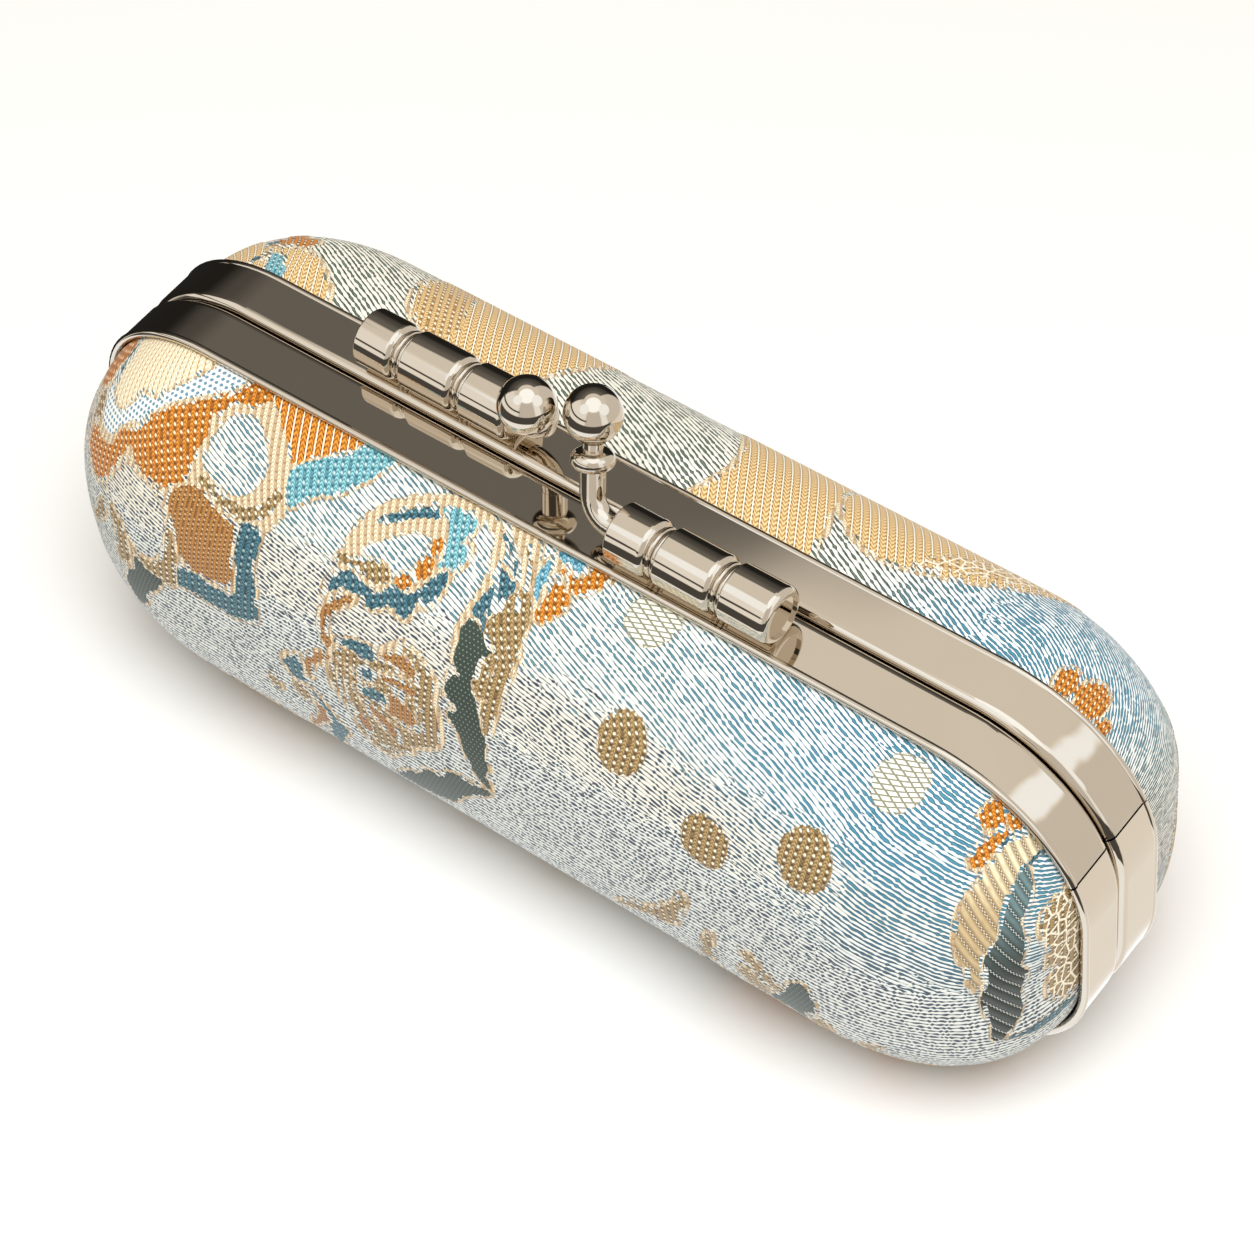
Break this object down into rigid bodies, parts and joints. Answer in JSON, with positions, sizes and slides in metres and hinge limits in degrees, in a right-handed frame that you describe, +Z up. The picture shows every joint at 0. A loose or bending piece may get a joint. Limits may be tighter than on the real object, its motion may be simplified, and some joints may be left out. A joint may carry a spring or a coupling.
{
  "type": "brocade clasp case",
  "caption": "Hard clamshell case covered in floral silk brocade, with a polished metal frame, a hinge below and a crossed-ball kiss-lock clasp on top.",
  "frame": {"origin": "on the floor under the middle of the part's bounding box, case standing closed on its hinge side", "axes": "+X along the case, +Y to the back, +Z up; the case leans about 8.6 degrees towards -Y onto its front strip's edge"},
  "size_m": [0.1642, 0.0614, 0.0786],
  "materials": {
    "nickel": "polished, warm nickel",
    "steel": "plain steel wire and rivets",
    "brocade": "woven silk brocade, floral, on an ivory and blue ground",
    "shell_board": "moulded board",
    "satin": "plain satin",
    "paper_cord": "twisted paper"
  },
  "bodies": {
    "front_half": {"front_frame": "nickel", "front_shell": "shell_board", "front_cover": "brocade", "front_lining": "satin", "front_edge_cord": "paper_cord", "front_seam_plate": "nickel", "front_clasp_barrel": "nickel", "front_clasp_arm": "nickel", "front_clasp_ball": "nickel", "front_clasp_rivets": "steel", "left_hinge_front_leaf": "nickel", "right_hinge_front_leaf": "nickel", "left_hinge_pin": "steel", "right_hinge_pin": "steel", "front_hinge_rivets": "steel"},
    "back_half": {"back_frame": "nickel", "back_shell": "shell_board", "back_cover": "brocade", "back_lining": "satin", "back_edge_cord": "paper_cord", "back_seam_plate": "nickel", "back_clasp_barrel": "nickel", "back_clasp_arm": "nickel", "back_clasp_ball": "nickel", "back_clasp_rivets": "steel", "left_hinge_back_leaf": "nickel", "right_hinge_back_leaf": "nickel", "back_hinge_rivets": "steel"}
  },
  "joints": [
    {"name": "case_hinge", "type": "hinge", "parent": "front_half", "child": "back_half", "pos_m": [0, 0.00311, 0.0013], "axis": [-1, 0, 0], "range_deg": [0, 100]}
  ]
}
